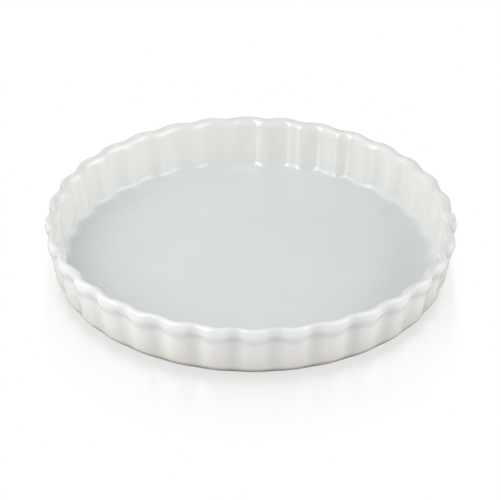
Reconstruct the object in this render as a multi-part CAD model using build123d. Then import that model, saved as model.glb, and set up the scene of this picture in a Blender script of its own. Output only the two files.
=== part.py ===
from build123d import *
import math
import os

# Fluted quiche dish in glazed stoneware.
# The origin is on the dish's axis at the level that it stands on, +Z is up and lengths are millimetres.
# The wall, the rolled rim and the corner of the base are one skin that follows the flutes.

# Whole dish
flute_count = 32
rim_diameter = 285.0
dish_height = 42.0

# Flutes, from the crest of a lobe to the bottom of the valley beside it
rim_flute_depth = 2.5
neck_flute_depth = 3.8
wall_flute_depth = 3.0
heel_flute_depth = 2.4
base_flute_depth = 0.4
inner_flute_depth = 2.4
floor_flute_depth = 2.0
lobe_share = 0.64

# Rolled rim, and the neck that sweeps in under it to the shoulder of the wall
rim_width = 6.6
rim_roll_height = 9.4
neck_drop = 6.3
shoulder_drop = 10.0
shoulder_set_in = 3.0

# Wall and floor
wall_thickness = 5.0
wall_draft_degrees = 9.0
floor_thickness = 5.6
floor_fillet_radius = 6.0
base_corner_radius = 9.0

# Bare standing ring under the floor
foot_height = 1.2
foot_width = 7.0
foot_set_in = 2.0

# Steps of the rounded stretches of the section, each a straight band, and how fast the flutes fade
fillet_steps = 3
roll_steps = 6
neck_steps = 2
corner_steps = 3
corner_fade = 3


def fluted_outline(mean_radius, flute_depth, height):
    """Level outline round the axis: a lobe's arc outwards, a valley's arc inwards, all tangent."""
    half_pitch_angle = math.pi / flute_count
    pitch = 2 * half_pitch_angle * mean_radius
    crest = mean_radius + flute_depth / 2
    valley = mean_radius - flute_depth / 2
    lobe_radius = 1 / (8 * flute_depth / (lobe_share * pitch**2) + 1 / mean_radius)
    lobe_centre = crest - lobe_radius

    # The valley's arc touches the lobe's arc where the line of their two centres crosses both
    reach = lobe_centre * math.cos(half_pitch_angle)
    valley_radius = (lobe_centre**2 + valley**2 - 2 * valley * reach - lobe_radius**2) / (
        2 * (lobe_radius - valley + reach)
    )
    valley_centre = valley + valley_radius
    along = lobe_radius / (lobe_radius + valley_radius)
    touch_x = lobe_centre + along * (valley_centre * math.cos(half_pitch_angle) - lobe_centre)
    touch_y = along * valley_centre * math.sin(half_pitch_angle)
    touch_radius = math.hypot(touch_x, touch_y)
    touch_angle = math.atan2(touch_y, touch_x)

    def place(radius, angle):
        return Vector(radius * math.cos(angle), radius * math.sin(angle), height)

    arcs = []
    for flute in range(flute_count):
        lobe = 2 * half_pitch_angle * flute
        hollow = lobe + half_pitch_angle
        next_lobe = hollow + half_pitch_angle
        lobe_end = place(touch_radius, lobe + touch_angle)
        lobe_start = place(touch_radius, lobe - touch_angle)
        arcs.append(Edge.make_three_point_arc(lobe_start, place(crest, lobe), lobe_end))
        hollow_end = place(touch_radius, next_lobe - touch_angle)
        arcs.append(Edge.make_three_point_arc(lobe_end, place(valley, hollow), hollow_end))
    return Wire(arcs)


def round_stretch(centre, radii, start_degrees, end_degrees, steps, start_depth, end_depth, fade=1):
    """Levels along a rounded stretch of the section, as mean radius, height and flute depth.

    The depth runs evenly from start to end, and with a higher fade it falls off early.
    """
    levels = []
    for step in range(steps + 1):
        share = step / steps
        angle = math.radians(start_degrees + share * (end_degrees - start_degrees))
        mean_radius = centre[0] + radii[0] * math.cos(angle)
        height = centre[1] + radii[1] * math.sin(angle)
        depth = end_depth + (start_depth - end_depth) * (1 - share) ** fade
        levels.append((mean_radius, height, depth))
    return levels


# Section of the skin at the mean of the flutes
rim_radius = (rim_diameter - rim_flute_depth) / 2
roll_centre = (rim_radius - rim_width / 2, dish_height - rim_roll_height / 2)
shoulder = (rim_radius - shoulder_set_in, roll_centre[1] - shoulder_drop)
draft = math.radians(wall_draft_degrees)


def wall_radius(height):
    """Mean radius of the outside of the wall, which leans out by its draft."""
    return shoulder[0] - (shoulder[1] - height) * math.tan(draft)


corner_height = foot_height + base_corner_radius
corner_centre = (wall_radius(corner_height) - base_corner_radius / math.cos(draft), corner_height)
floor_level = foot_height + floor_thickness
fillet_height = floor_level + floor_fillet_radius
fillet_radius = wall_radius(fillet_height) - wall_thickness - floor_fillet_radius / math.cos(draft)
fillet_centre = (fillet_radius, fillet_height)


def neck_levels():
    """Levels under the rim's widest line, in to the shoulder, with the flutes deepest at the neck."""
    stretch = neck_flute_depth - rim_flute_depth
    shares = [step / neck_steps for step in range(1, neck_steps + 1)]
    drops = [share * neck_drop for share in shares] + [shoulder_drop]
    depths = [rim_flute_depth + share * stretch for share in shares] + [wall_flute_depth]
    levels = []
    for drop, depth in zip(drops, depths):
        set_in = shoulder_set_in * (1 - math.cos(math.pi * drop / shoulder_drop)) / 2
        levels.append((rim_radius - set_in, roll_centre[1] - drop, depth))
    return levels


def stoneware_body():
    """Floor, fluted wall and rolled rim in one, from the floor's edge up, over the rim and down."""
    levels = round_stretch(
        fillet_centre,
        (floor_fillet_radius, floor_fillet_radius),
        -90,
        -wall_draft_degrees,
        fillet_steps,
        floor_flute_depth,
        inner_flute_depth,
    )
    levels += round_stretch(
        roll_centre,
        (rim_width / 2, rim_roll_height / 2),
        180,
        0,
        roll_steps,
        rim_flute_depth,
        rim_flute_depth,
    )
    levels += neck_levels()
    levels += round_stretch(
        corner_centre,
        (base_corner_radius, base_corner_radius),
        -wall_draft_degrees,
        -90,
        corner_steps,
        heel_flute_depth,
        base_flute_depth,
        corner_fade,
    )
    outlines = [fluted_outline(radius, depth, height) for radius, height, depth in levels]
    return Solid.make_loft(outlines, ruled=True)


def foot_ring():
    """Flat ring of bare clay, ground level, on which the dish stands."""
    outer_radius = corner_centre[0] - foot_set_in
    ring = Cylinder(outer_radius, foot_height, align=(Align.CENTER, Align.CENTER, Align.MIN))
    ring -= Cylinder(outer_radius - foot_width, foot_height, align=(Align.CENTER, Align.CENTER, Align.MIN))
    return ring


os.makedirs("parts", exist_ok=True)
nodes = {"stoneware_body": stoneware_body(), "foot_ring": foot_ring()}
for name, node in nodes.items():
    node.label = name
    export_step(node, f"parts/{name}.step")
    box = node.bounding_box()
    print(name, "volume", round(node.volume), "size", box.size, "from", round(box.min.Z, 3))
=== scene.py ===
import math

import bmesh
import bpy
from mathutils import Matrix, Vector


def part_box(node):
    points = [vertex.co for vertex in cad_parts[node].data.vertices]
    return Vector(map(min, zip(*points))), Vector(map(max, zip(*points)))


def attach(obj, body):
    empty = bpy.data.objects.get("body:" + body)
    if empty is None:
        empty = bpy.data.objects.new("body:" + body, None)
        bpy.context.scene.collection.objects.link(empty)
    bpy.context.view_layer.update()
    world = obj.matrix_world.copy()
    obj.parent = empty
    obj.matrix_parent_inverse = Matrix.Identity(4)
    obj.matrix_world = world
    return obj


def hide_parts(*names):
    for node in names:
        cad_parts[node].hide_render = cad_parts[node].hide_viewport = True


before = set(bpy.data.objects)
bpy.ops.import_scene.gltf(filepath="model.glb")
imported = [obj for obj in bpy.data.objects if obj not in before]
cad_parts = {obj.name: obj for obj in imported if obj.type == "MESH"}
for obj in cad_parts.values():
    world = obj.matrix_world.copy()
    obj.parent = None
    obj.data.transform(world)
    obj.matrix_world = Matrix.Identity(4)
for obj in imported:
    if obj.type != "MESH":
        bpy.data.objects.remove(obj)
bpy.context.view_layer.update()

scene = bpy.context.scene
scene.view_settings.view_transform = "Standard"


# Camera, solved from the outlines of the rim, the rim's inner edge and the base.
# It stands 2.8 m in front of the dish and looks down on it by 32 degrees.
# Its turn about the dish's axis sets which flutes face it.
MM = 0.001
CAMERA_PLACE = Vector((0.0, -2344.9, 1490.2)) * MM
CAMERA_AIM = Vector((-0.00005, 0.846673, -0.532115))
CAMERA_RIGHT = Vector((0.999955, 0.004994, 0.008036))
CAMERA_TURN = math.radians(-1.395)
CAMERA_CLIP_END = 50.0
FOCAL_PIXELS = 3986.3
PHOTO_WIDTH = 501
SENSOR_WIDTH = 36.0


def make_camera():
    """Camera of the photograph, made from the place and the two directions that were solved for it."""
    turn = Matrix.Rotation(CAMERA_TURN, 3, "Z")
    aim = (turn @ CAMERA_AIM).normalized()
    right = turn @ CAMERA_RIGHT
    right = (right - aim * right.dot(aim)).normalized()
    up = right.cross(aim)
    lens = bpy.data.cameras.new("camera")
    lens.sensor_width = SENSOR_WIDTH
    lens.lens = FOCAL_PIXELS * SENSOR_WIDTH / PHOTO_WIDTH
    lens.clip_end = CAMERA_CLIP_END
    camera = bpy.data.objects.new("camera", lens)
    camera.matrix_world = Matrix((right, up, -aim)).transposed().to_4x4()
    camera.matrix_world.translation = turn @ CAMERA_PLACE
    scene.collection.objects.link(camera)
    scene.camera = camera


make_camera()


# Stoneware body under white glaze: clay pressed in a mould that flutes its wall, rim and floor's edge.
# The glaze is fired glass about 0.3 mm thick, a little thinner over crests and thicker in hollows.
# Sizes are millimetres, measured at the mean of the flutes.
_, body_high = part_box("stoneware_body")
_, foot_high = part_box("foot_ring")
FLUTES = 32
STEPS_PER_FLUTE = 16
DISH_RADIUS = body_high.x / MM
DISH_HEIGHT = body_high.z / MM
FOOT_HEIGHT = foot_high.z / MM

# Half depths of the flutes, from the mean out to a lobe's crest, and the lobe's share of the pitch
RIM_FLUTE = 1.25
NECK_FLUTE = 1.95
WALL_FLUTE = 1.5
HEEL_FLUTE = 1.2
BASE_FLUTE = 0.1
INNER_FLUTE = 1.2
FLOOR_FLUTE = 1.0
LOBE_SHARE = 0.64

# Floor: rings of points, two more near the fillet (set in, share of the flutes' depth), and the fillet
FLOOR_LEVEL = 6.8
FLOOR_RINGS = (0, 40, 80, 110)
FLOOR_EDGE = ((6, 0.8), (2, 1.0))
FILLET_RADIUS = 6.0
FILLET_STEPS = 6

# Wall, and the levels at which its inside and its outside have points
WALL_THICKNESS = 5.0
WALL_DRAFT = math.radians(9.0)
INNER_WALL_LEVELS = (17, 24, 30)
OUTER_WALL_LEVELS = (24, 19.5, 15)

# Rolled rim of two arcs, and the neck that sweeps in from its widest line to the shoulder of the wall
RIM_HALF_HEIGHT = 4.7
RIM_INNER_ROUND = 6.0
RIM_OUTER_ROUND = 2.75
RIM_MEETING_DEGREES = 120
RIM_INNER_DEGREES = range(186, RIM_MEETING_DEGREES, -11)
RIM_OUTER_DEGREES = range(RIM_MEETING_DEGREES, 5, -20)
RIM_MEAN = DISH_RADIUS - RIM_FLUTE
RIM_WIDEST_LEVEL = DISH_HEIGHT - RIM_HALF_HEIGHT
NECK_DROP = 6.3
NECK_STEPS = 7
SHOULDER_DROP = 10.0
SHOULDER_SET_IN = 3.0
SHOULDER_LEVEL = RIM_WIDEST_LEVEL - SHOULDER_DROP

# Rounded corner of the base, where the flutes fade early, then the underside's edge and rings
CORNER_RADIUS = 9.0
CORNER_STEPS = 7
CORNER_FADE = 3
UNDERSIDE_EDGE = (2.5, 0.6)
UNDERSIDE_RINGS = (105, 80, 40, 0)


def wall_radius(height):
    """Mean radius of the outside of the wall, which leans out by its draft."""
    return RIM_MEAN - SHOULDER_SET_IN - (SHOULDER_LEVEL - height) * math.tan(WALL_DRAFT)


def arc_point(centre, radius, angle, flute):
    """Point of the section on a rounded stretch: mean radius, height and half depth of the flutes."""
    return (centre[0] + radius * math.cos(angle), centre[1] + radius * math.sin(angle), flute)


def inside_section():
    """Points from the middle of the floor out to the fillet and up the inside of the wall."""
    height = FLOOR_LEVEL + FILLET_RADIUS
    fillet = (wall_radius(height) - WALL_THICKNESS - FILLET_RADIUS / math.cos(WALL_DRAFT), height)
    section = [(radius, FLOOR_LEVEL, 0.0) for radius in FLOOR_RINGS]
    section += [(fillet[0] - set_in, FLOOR_LEVEL, share * FLOOR_FLUTE) for set_in, share in FLOOR_EDGE]
    for step in range(FILLET_STEPS + 1):
        share = step / FILLET_STEPS
        angle = -math.pi / 2 + share * (math.pi / 2 - WALL_DRAFT)
        flute = FLOOR_FLUTE + share * (INNER_FLUTE - FLOOR_FLUTE)
        section.append(arc_point(fillet, FILLET_RADIUS, angle, flute))
    section += [(wall_radius(level) - WALL_THICKNESS, level, INNER_FLUTE) for level in INNER_WALL_LEVELS]
    return section


def rim_section():
    """Points over the rolled rim, first a flat arc and then a tight one, tangent where they meet."""
    meeting = math.radians(RIM_MEETING_DEGREES)
    apart = RIM_INNER_ROUND - RIM_OUTER_ROUND
    outer = (RIM_MEAN - RIM_OUTER_ROUND, DISH_HEIGHT - RIM_OUTER_ROUND)
    inner = (outer[0] - apart * math.cos(meeting), outer[1] - apart * math.sin(meeting))
    arcs = ((inner, RIM_INNER_ROUND, RIM_INNER_DEGREES), (outer, RIM_OUTER_ROUND, RIM_OUTER_DEGREES))
    return [arc_point(centre, radius, math.radians(degrees), RIM_FLUTE)
            for centre, radius, stretch in arcs for degrees in stretch]


def outside_section():
    """Points down the neck, the wall and the corner of the base, and in to the middle of the underside."""
    section = []
    for step in range(NECK_STEPS + 1):
        share = step / NECK_STEPS
        drop = share * SHOULDER_DROP
        set_in = SHOULDER_SET_IN * (1 - math.cos(math.pi * share)) / 2
        neck = min(1, drop / NECK_DROP)
        below = max(0, drop - NECK_DROP) / (SHOULDER_DROP - NECK_DROP)
        flute = RIM_FLUTE + neck * (NECK_FLUTE - RIM_FLUTE) + below * (WALL_FLUTE - NECK_FLUTE)
        section.append((RIM_MEAN - set_in, RIM_WIDEST_LEVEL - drop, flute))
    height = FOOT_HEIGHT + CORNER_RADIUS
    corner = (wall_radius(height) - CORNER_RADIUS / math.cos(WALL_DRAFT), height)
    for level in OUTER_WALL_LEVELS:
        share = (SHOULDER_LEVEL - level) / (SHOULDER_LEVEL - corner[1])
        section.append((wall_radius(level), level, WALL_FLUTE + share * (HEEL_FLUTE - WALL_FLUTE)))
    for step in range(CORNER_STEPS + 1):
        share = step / CORNER_STEPS
        angle = -WALL_DRAFT - share * (math.pi / 2 - WALL_DRAFT)
        flute = BASE_FLUTE + (1 - share) ** CORNER_FADE * (HEEL_FLUTE - BASE_FLUTE)
        section.append(arc_point(corner, CORNER_RADIUS, angle, flute))
    set_in, share = UNDERSIDE_EDGE
    section.append((corner[0] - set_in, FOOT_HEIGHT, share * BASE_FLUTE))
    section += [(radius, FOOT_HEIGHT, 0.0) for radius in UNDERSIDE_RINGS]
    return section


def smoothed(section):
    """One round of halving and averaging, which draws a smooth curve near the section's points."""
    halved = [section[0]]
    for before, after in zip(section, section[1:]):
        halved += [tuple((a + b) / 2 for a, b in zip(before, after)), after]
    inner = [tuple((a + 2 * b + c) / 4 for a, b, c in zip(*three))
             for three in zip(halved, halved[1:], halved[2:])]
    return [halved[0]] + inner + [halved[-1]]


def fluted_radius(mean, half_depth, angle):
    """Radius of a fluted outline at an angle: a lobe's arc out and a valley's arc in, tangent."""
    half_pitch = math.pi / FLUTES
    pitch = 2 * half_pitch * mean
    lobe_arc = 1 / (16 * half_depth / (LOBE_SHARE * pitch ** 2) + 1 / mean)
    lobe_centre = mean + half_depth - lobe_arc
    valley = mean - half_depth
    reach = lobe_centre * math.cos(half_pitch)
    valley_arc = (lobe_centre ** 2 + valley ** 2 - 2 * valley * reach - lobe_arc ** 2) / (
        2 * (lobe_arc - valley + reach))
    valley_centre = valley + valley_arc
    along = lobe_arc / (lobe_arc + valley_arc)
    touch = math.atan2(along * valley_centre * math.sin(half_pitch),
                       lobe_centre + along * (valley_centre * math.cos(half_pitch) - lobe_centre))
    turn = abs((angle + half_pitch) % (2 * half_pitch) - half_pitch)
    if turn < touch:
        return lobe_centre * math.cos(turn) + math.sqrt(
            lobe_arc ** 2 - (lobe_centre * math.sin(turn)) ** 2)
    turn = half_pitch - turn
    side = math.copysign(1, valley_arc)
    return valley_centre * math.cos(turn) - side * math.sqrt(
        valley_arc ** 2 - (valley_centre * math.sin(turn)) ** 2)


# The glaze turns from the inside's to the outside's over this many points of the section, at the rim's top
OUTSIDE_BLEND = 8

# Painted shade in the valleys and in the neck under the rim; along the lower edge the glaze is wiped off to
# the clay, painted darker for the shade by the table
PAINTED_SHADE_HEIGHT = 31.5
PAINTED_SHADE_REACH = 5.0
PAINTED_SHADE_IN_VALLEY = 0.4
PAINTED_SHADE_IN_NECK = 0.15
WIPED_AND_SHADED_TOP = 9.0
WIPED_AND_SHADED_FULL = 2.2

# The ends of the section lie on the axis, where their copies merge
MERGE_WITHIN = 0.01


def make_body():
    """Section spun round the axis and fluted, with what the glaze does there noted on each point."""
    section = smoothed(inside_section() + rim_section() + outside_section())
    shape = bmesh.new()
    depth = shape.verts.layers.float.new("flute")
    pooled = shape.verts.layers.float.new("pooled")
    outside = shape.verts.layers.float.new("outside")
    wiped = shape.verts.layers.float.new("wiped")
    points = [shape.verts.new((radius * MM, 0, height * MM)) for radius, height, _ in section]
    top = max(range(len(section)), key=lambda i: section[i][1])
    for i, (point, (_, _, flute)) in enumerate(zip(points, section)):
        point[depth] = flute * MM
        point[outside] = min(1, max(0, 0.5 + (i - top) / OUTSIDE_BLEND))
    for start, end in zip(points, points[1:]):
        shape.edges.new((start, end))
    bmesh.ops.spin(shape, geom=shape.verts[:] + shape.edges[:], cent=(0, 0, 0), axis=(0, 0, 1),
                   angle=2 * math.pi, steps=FLUTES * STEPS_PER_FLUTE, use_merge=True)
    bmesh.ops.remove_doubles(shape, verts=shape.verts[:], dist=MERGE_WITHIN * MM)
    for point in shape.verts:
        radius = math.hypot(point.co.x, point.co.y)
        # Lower edge: bare clay where the glaze is wiped off, with painted shade near the table
        low = min(1, max(0, (WIPED_AND_SHADED_TOP - point.co.z / MM) / (WIPED_AND_SHADED_TOP - WIPED_AND_SHADED_FULL)))
        if radius > foot_high.x:
            point[wiped] = point[outside] * low * low * (3 - 2 * low)
        if point[depth] > 0:
            fluted = fluted_radius(radius, point[depth], math.atan2(point.co.y, point.co.x))
            # Painted shade, darker in the valleys and in the neck under the rim
            valley = min(1, max(0, (radius - fluted) / point[depth]))
            neck = max(0, 1 - abs(point.co.z / MM - PAINTED_SHADE_HEIGHT) / PAINTED_SHADE_REACH)
            point[pooled] = point[outside] * (PAINTED_SHADE_IN_VALLEY * valley + PAINTED_SHADE_IN_NECK * neck)
            point.co.x *= fluted / radius
            point.co.y *= fluted / radius
    bmesh.ops.recalc_face_normals(shape, faces=shape.faces[:])
    mesh = bpy.data.meshes.new("glazed_body")
    shape.to_mesh(mesh)
    shape.free()
    mesh.polygons.foreach_set("use_smooth", [True] * len(mesh.polygons))
    piece = bpy.data.objects.new("glazed_body", mesh)
    scene.collection.objects.link(piece)
    return piece


def linear(colour):
    """sRGB hex value as linear red, green, blue and alpha."""
    channels = [int(colour[i:i + 2], 16) / 255 for i in (1, 3, 5)]
    return [c / 12.92 if c <= 0.04045 else ((c + 0.055) / 1.055) ** 2.4 for c in channels] + [1.0]


def add_node(tree, kind, settings={}, **links):
    """One node with its settings, socket values and links; a link is (node, output)."""
    node = tree.nodes.new(kind)
    for name, value in settings.items():
        setattr(node, name, value)
    for name, value in links.items():
        key = int(name[1:]) if name[0] == "i" and name[1:].isdigit() else name.replace("_", " ")
        socket = node.inputs[key]
        if isinstance(value, tuple) and isinstance(value[0], bpy.types.Node):
            tree.links.new(value[0].outputs[value[1]], socket)
        else:
            socket.default_value = value
    return node


# Tones of the glaze. The inside's tone is painted a touch darker and warmer than the outside's: painted
# shade for the lesser light inside the dish.
GLAZE_INSIDE = "#EAEAE7"
# Painted light: a cooler tone on the floor of the dish, for the cool light there.
PAINTED_FLOOR_TONE = "#E6EBE9"
GLAZE_OUTSIDE = "#EEF0EE"
# Painted shade and warm light low on the outside wall: darker and warmer where the wall faces the table.
PAINTED_LOW_WALL_TONE = "#E2DED7"
# Painted shade: a darker tone in the valleys and in the neck under the rim.
PAINTED_SHADE_TONE = "#CFD4D1"
# Clay brown along the lower edge where the glaze is wiped off, darkened with painted shade from the table
# close below.
WIPED_AND_SHADED_EDGE = "#6C6456"
GLAZE_IOR = 1.55
GLAZE_ROUGHNESS = (0.03, 0.06)
GLAZE_SHADE = (0.985, 1.01)

# Heights in millimetres at which the painted floor tone and the painted darker, warmer tone low on the
# outside begin and are full
PAINTED_FLOOR_LEVELS = (16, 8)
PAINTED_LOW_WALL_LEVELS = (27, 5)

# Sizes in millimetres of the surface's waves and of the clouds in its tone, with the noise's usual range
GLAZE_WAVE = 7.0
GLAZE_WAVE_HEIGHT = 0.02
GLAZE_CLOUD = 26.0
CLOUD_RANGE = (0.3, 0.7)
SMOOTH = {"interpolation_type": "SMOOTHSTEP"}


def white_glaze():
    """Opaque white stoneware glaze, fired to a clear gloss.

    Its tone carries painted light: a touch darker and warmer inside than outside, cooler on the floor,
    darker and warmer low on the outside wall for the shade and the table's warm light there, and darker in
    the valleys and the neck under the rim for the shade in them. It breaks to the brown of the clay in a
    narrow line along the lower edge, where it is wiped off, and there it is painted darker still for the
    shade by the table.
    Its surface waves by hundredths of a millimetre, which makes long reflections waver.
    """
    material = bpy.data.materials.new("white_stoneware_glaze")
    material.use_nodes = True
    tree = material.node_tree
    shader = tree.nodes["Principled BSDF"]
    shader.inputs["IOR"].default_value = GLAZE_IOR
    place = add_node(tree, "ShaderNodeTexCoord")
    parts = add_node(tree, "ShaderNodeSeparateXYZ", i0=(place, "Object"))
    outside = add_node(tree, "ShaderNodeAttribute", {"attribute_name": "outside"})
    pooled = add_node(tree, "ShaderNodeAttribute", {"attribute_name": "pooled"})
    wiped = add_node(tree, "ShaderNodeAttribute", {"attribute_name": "wiped"})
    near_floor = add_node(tree, "ShaderNodeMapRange", SMOOTH, Value=(parts, "Z"),
                          From_Min=PAINTED_FLOOR_LEVELS[0] * MM, From_Max=PAINTED_FLOOR_LEVELS[1] * MM)
    low = add_node(tree, "ShaderNodeMapRange", SMOOTH, Value=(parts, "Z"),
                   From_Min=PAINTED_LOW_WALL_LEVELS[0] * MM, From_Max=PAINTED_LOW_WALL_LEVELS[1] * MM)
    painted_low_wall = add_node(tree, "ShaderNodeMath", {"operation": "MULTIPLY"}, i0=(low, "Result"),
                    i1=(outside, "Fac"))
    # Tones mixed in turn: the painted cool floor, the outside over the painted darker inside, the painted
    # darker and warmer low wall, painted shade in the hollows, and the wiped edge with painted shade.
    tone = linear(GLAZE_INSIDE)
    for share, over in (((near_floor, "Result"), PAINTED_FLOOR_TONE), ((outside, "Fac"), GLAZE_OUTSIDE),
                        ((painted_low_wall, "Value"), PAINTED_LOW_WALL_TONE), ((pooled, "Fac"), PAINTED_SHADE_TONE),
                        ((wiped, "Fac"), WIPED_AND_SHADED_EDGE)):
        mixed = add_node(tree, "ShaderNodeMix", {"data_type": "RGBA"}, i0=share, i6=tone, i7=linear(over))
        tone = (mixed, 2)
    cloud = add_node(tree, "ShaderNodeTexNoise", Vector=(place, "Object"), Scale=1 / (GLAZE_CLOUD * MM),
                     Detail=3.0)
    shade = add_node(tree, "ShaderNodeMapRange", Value=(cloud, "Fac"), From_Min=CLOUD_RANGE[0],
                     From_Max=CLOUD_RANGE[1], To_Min=GLAZE_SHADE[0], To_Max=GLAZE_SHADE[1])
    colour = add_node(tree, "ShaderNodeVectorMath", {"operation": "SCALE"}, i0=tone,
                      Scale=(shade, "Result"))
    tree.links.new(colour.outputs["Vector"], shader.inputs["Base Color"])
    gloss = add_node(tree, "ShaderNodeMapRange", Value=(cloud, "Fac"), From_Min=CLOUD_RANGE[0],
                     From_Max=CLOUD_RANGE[1], To_Min=GLAZE_ROUGHNESS[0], To_Max=GLAZE_ROUGHNESS[1])
    tree.links.new(gloss.outputs["Result"], shader.inputs["Roughness"])
    wave = add_node(tree, "ShaderNodeTexNoise", Vector=(place, "Object"), Scale=1 / (GLAZE_WAVE * MM),
                    Detail=1.0)
    bump = add_node(tree, "ShaderNodeBump", Strength=1.0, Distance=GLAZE_WAVE_HEIGHT * MM,
                    Height=(wave, "Fac"))
    tree.links.new(bump.outputs["Normal"], shader.inputs["Normal"])
    return material


glazed_body = make_body()
glazed_body.data.materials.append(white_glaze())
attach(glazed_body, "root")
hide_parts("stoneware_body")


# Foot ring: the one part of the clay that is left bare, wiped clean of glaze and ground level.
# It is buff stoneware, matt and slightly rough to the touch, and one with the body.
CLAY_DARK = "#A8957B"
CLAY_LIGHT = "#CDBFA9"
CLAY_ROUGHNESS = 0.85
CLAY_GRAIN = 0.9
CLAY_GRAIN_HEIGHT = 0.05
GRAIN_RANGE = (0.35, 0.7)


def bare_clay():
    """Bare fired stoneware: grains of sand and darker grog in buff clay, about a millimetre across."""
    material = bpy.data.materials.new("bare_ground_stoneware")
    material.use_nodes = True
    tree = material.node_tree
    shader = tree.nodes["Principled BSDF"]
    shader.inputs["Roughness"].default_value = CLAY_ROUGHNESS
    place = add_node(tree, "ShaderNodeTexCoord")
    grain = add_node(tree, "ShaderNodeTexNoise", Vector=(place, "Object"), Scale=1 / (CLAY_GRAIN * MM),
                     Detail=4.0)
    share = add_node(tree, "ShaderNodeMapRange", Value=(grain, "Fac"), From_Min=GRAIN_RANGE[0],
                     From_Max=GRAIN_RANGE[1])
    colour = add_node(tree, "ShaderNodeMix", {"data_type": "RGBA"}, i0=(share, "Result"),
                      i6=linear(CLAY_DARK), i7=linear(CLAY_LIGHT))
    tree.links.new(colour.outputs[2], shader.inputs["Base Color"])
    bump = add_node(tree, "ShaderNodeBump", Strength=1.0, Distance=CLAY_GRAIN_HEIGHT * MM,
                    Height=(grain, "Fac"))
    tree.links.new(bump.outputs["Normal"], shader.inputs["Normal"])
    return material


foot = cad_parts["foot_ring"]
foot.data.materials.clear()
foot.data.materials.append(bare_clay())


# Floor: a plain pale table top with a soft gloss, which the camera sees as white.
# It keeps the contact shadow round the foot, and in front of the dish a soft mirror image of the wall.
WHITE = "#FFFFFF"
TABLE_COLOUR = "#DBDAD8"
TABLE_ROUGHNESS = 0.5
SHEET_SIZE = 6.0
CONTACT_RADII = (121 * MM, 124.5 * MM)

# Where the image is full and where it is gone: back from the front edge of a circle of this radius, out to
# either side from the dish's middle, and back from its middle
IMAGE_EDGE = 142 * MM
IMAGE_FRONT = (15 * MM, -75 * MM)
IMAGE_SIDES = (138 * MM, 144 * MM)
IMAGE_BACK = (0 * MM, 40 * MM)
IMAGE_SHARE = 0.27
IMAGE_ROUGHNESS = 0.3
MATT_SHARE = 0.1


def table_top():
    """Pale table top with a satin finish, which the camera sees white but for the shadow and the image."""
    material = bpy.data.materials.new("pale_table_top")
    material.use_nodes = True
    tree = material.node_tree
    shader = tree.nodes["Principled BSDF"]
    shader.inputs["Base Color"].default_value = linear(TABLE_COLOUR)
    shader.inputs["Roughness"].default_value = TABLE_ROUGHNESS
    matt = add_node(tree, "ShaderNodeBsdfDiffuse", i0=linear(WHITE))
    glossy = add_node(tree, "ShaderNodeBsdfAnisotropic", i0=linear(WHITE), Roughness=IMAGE_ROUGHNESS)
    white = add_node(tree, "ShaderNodeEmission", i0=linear(WHITE), i1=1.0)
    place = add_node(tree, "ShaderNodeTexCoord")
    parts = add_node(tree, "ShaderNodeSeparateXYZ", i0=(place, "Object"))
    distance = add_node(tree, "ShaderNodeVectorMath", {"operation": "LENGTH"}, i0=(place, "Object"))

    # How far behind the circle's front edge a point lies, and how far to the side
    square = add_node(tree, "ShaderNodeMath", {"operation": "MULTIPLY"}, i0=(parts, "X"), i1=(parts, "X"))
    chord = add_node(tree, "ShaderNodeMath", {"operation": "SUBTRACT"}, i0=IMAGE_EDGE ** 2,
                     i1=(square, "Value"))
    within = add_node(tree, "ShaderNodeMath", {"operation": "MAXIMUM"}, i0=(chord, "Value"), i1=0.0)
    edge = add_node(tree, "ShaderNodeMath", {"operation": "SQRT"}, i0=(within, "Value"))
    behind = add_node(tree, "ShaderNodeMath", {"operation": "ADD"}, i0=(parts, "Y"), i1=(edge, "Value"))
    side = add_node(tree, "ShaderNodeMath", {"operation": "ABSOLUTE"}, i0=(parts, "X"))

    image = None
    for value, (full, gone), share in (((behind, "Value"), IMAGE_FRONT, IMAGE_SHARE),
                                       ((side, "Value"), IMAGE_SIDES, 1.0),
                                       ((parts, "Y"), IMAGE_BACK, 1.0)):
        fading = add_node(tree, "ShaderNodeMapRange", SMOOTH, Value=value, From_Min=full, From_Max=gone,
                          To_Min=share, To_Max=0.0)
        image = add_node(tree, "ShaderNodeMath", {"operation": "MULTIPLY"}, i0=(fading, "Result"),
                         i1=(image, "Value") if image else 1.0)
    contact = add_node(tree, "ShaderNodeMapRange", SMOOTH, Value=(distance, "Value"),
                       From_Min=CONTACT_RADII[0], From_Max=CONTACT_RADII[1], To_Min=1.0, To_Max=0.0)
    share = add_node(tree, "ShaderNodeMath", {"operation": "MAXIMUM"}, i0=(image, "Value"),
                     i1=(contact, "Result"))
    surface = add_node(tree, "ShaderNodeMixShader", i0=MATT_SHARE, i1=(glossy, "BSDF"), i2=(matt, "BSDF"))
    seen = add_node(tree, "ShaderNodeMixShader", i0=(share, "Value"), i1=(white, "Emission"),
                    i2=(surface, "Shader"))
    path = add_node(tree, "ShaderNodeLightPath")
    either = add_node(tree, "ShaderNodeMixShader", i0=(path, "Is Camera Ray"), i1=(shader, "BSDF"),
                      i2=(seen, "Shader"))
    tree.links.new(either.outputs["Shader"], tree.nodes["Material Output"].inputs["Surface"])
    return material


def make_floor():
    """Level sheet under the dish, wider than the camera sees."""
    shape = bmesh.new()
    bmesh.ops.create_grid(shape, x_segments=1, y_segments=1, size=SHEET_SIZE / 2)
    mesh = bpy.data.meshes.new("floor")
    shape.to_mesh(mesh)
    shape.free()
    piece = bpy.data.objects.new("floor", mesh)
    scene.collection.objects.link(piece)
    mesh.materials.append(table_top())


make_floor()


# Light: a tall narrow window at the front left, which gives the small bright spots on the rim.
# Two weak panels fill in from the left and the right, and a white tent glows in soft patches all round.
LIGHT_DISTANCE = 1.6
LIGHT_AIM = Vector((0, 0, 0.02))


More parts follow.
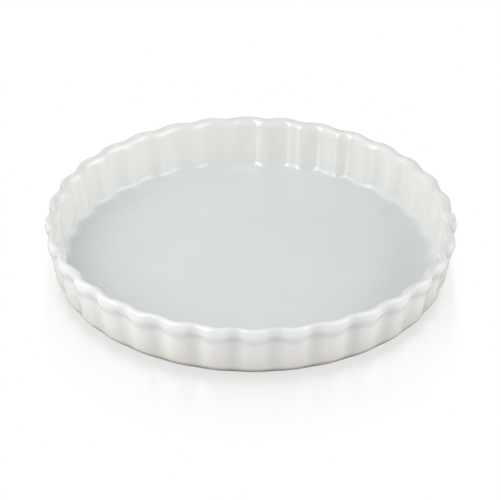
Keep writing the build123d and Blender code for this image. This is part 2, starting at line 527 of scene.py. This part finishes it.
def direction(azimuth, elevation):
    """Way from the dish to an azimuth, counted from the right, and an elevation, both in degrees."""
    azimuth, elevation = math.radians(azimuth), math.radians(elevation)
    return Vector((math.cos(azimuth) * math.cos(elevation), math.sin(azimuth) * math.cos(elevation),
                   math.sin(elevation)))


def make_light(name, azimuth, elevation, size, watts):
    """Rectangular lamp that faces the dish; its size is width and height in metres."""
    way = direction(azimuth, elevation)
    lamp = bpy.data.lights.new(name, "AREA")
    lamp.shape = "RECTANGLE"
    lamp.size, lamp.size_y = size
    lamp.energy = watts
    light = bpy.data.objects.new(name, lamp)
    light.rotation_mode = "QUATERNION"
    light.rotation_quaternion = way.to_track_quat("Z", "Y")
    light.location = way * LIGHT_DISTANCE + LIGHT_AIM
    scene.collection.objects.link(light)


make_light("window", azimuth=225, elevation=30, size=(0.42, 2.4), watts=16.0)
make_light("left_panel", azimuth=196, elevation=38, size=(1.0, 1.0), watts=5.6)
make_light("right_panel", azimuth=330, elevation=38, size=(0.9, 0.5), watts=5.2)

# Azimuth and elevation in degrees, and strength, of each soft patch in the tent
TENT_LOBES = ((352, 9, 2.65), (90, 15, 0.6), (135, 50, 0.55), (180, 10, 1.0), (315, 10, 0.5))
TENT_GLOW = 0.02
LOBE_REACH = math.radians(45)


def make_world():
    """Tent of white cloth, which the camera sees as plain white and the dish as dim with soft patches."""
    world = bpy.data.worlds.new("white_tent")
    scene.world = world
    world.use_nodes = True
    tree = world.node_tree
    background = tree.nodes["Background"]
    place = add_node(tree, "ShaderNodeTexCoord")
    total = None
    for azimuth, elevation, strength in TENT_LOBES:
        near = add_node(tree, "ShaderNodeVectorMath", {"operation": "DOT_PRODUCT"}, i0=(place, "Generated"),
                        i1=direction(azimuth, elevation))
        lobe = add_node(tree, "ShaderNodeMapRange", SMOOTH, Value=(near, "Value"),
                        From_Min=math.cos(LOBE_REACH), From_Max=1.0, To_Min=0.0, To_Max=strength)
        total = add_node(tree, "ShaderNodeMath", {"operation": "ADD"}, i0=(lobe, "Result"),
                         i1=(total, "Value") if total else TENT_GLOW)
    path = add_node(tree, "ShaderNodeLightPath")
    seen = add_node(tree, "ShaderNodeMix", {"data_type": "FLOAT"}, i0=(path, "Is Camera Ray"),
                    i2=(total, "Value"), i3=1.0)
    tree.links.new(seen.outputs[0], background.inputs["Strength"])
    background.inputs["Color"].default_value = linear(WHITE)


make_world()
